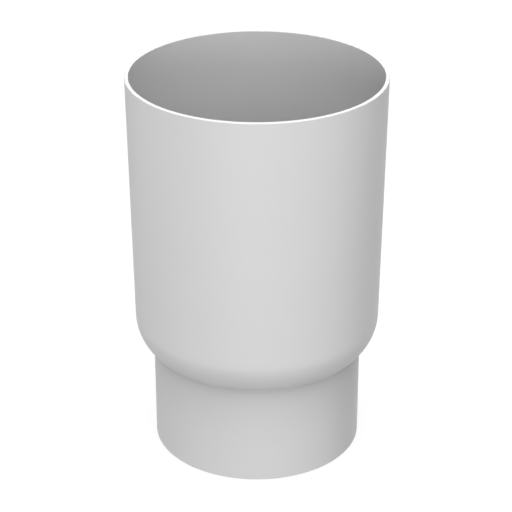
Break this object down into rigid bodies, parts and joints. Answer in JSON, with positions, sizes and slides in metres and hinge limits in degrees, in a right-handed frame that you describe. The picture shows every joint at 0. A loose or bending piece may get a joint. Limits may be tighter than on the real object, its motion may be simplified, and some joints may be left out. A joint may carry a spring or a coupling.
{
  "type": "pipe reducer",
  "caption": "Thin-walled grey plastic pipe reducer: a deep, slightly tapered socket narrows through a rounded shoulder to a plain spigot.",
  "frame": {"origin": "centre of the spigot's end face", "axes": "+Z along the pipe axis, from the spigot up to the socket's mouth; round about Z, so X and Y are free"},
  "size_m": [0.1328, 0.1328, 0.2052],
  "materials": {
    "moulded_plastic": "light grey moulded plastic with a fine satin skin"
  },
  "bodies": {
    "root": {"reducer_body": "moulded_plastic"}
  },
  "joints": []
}
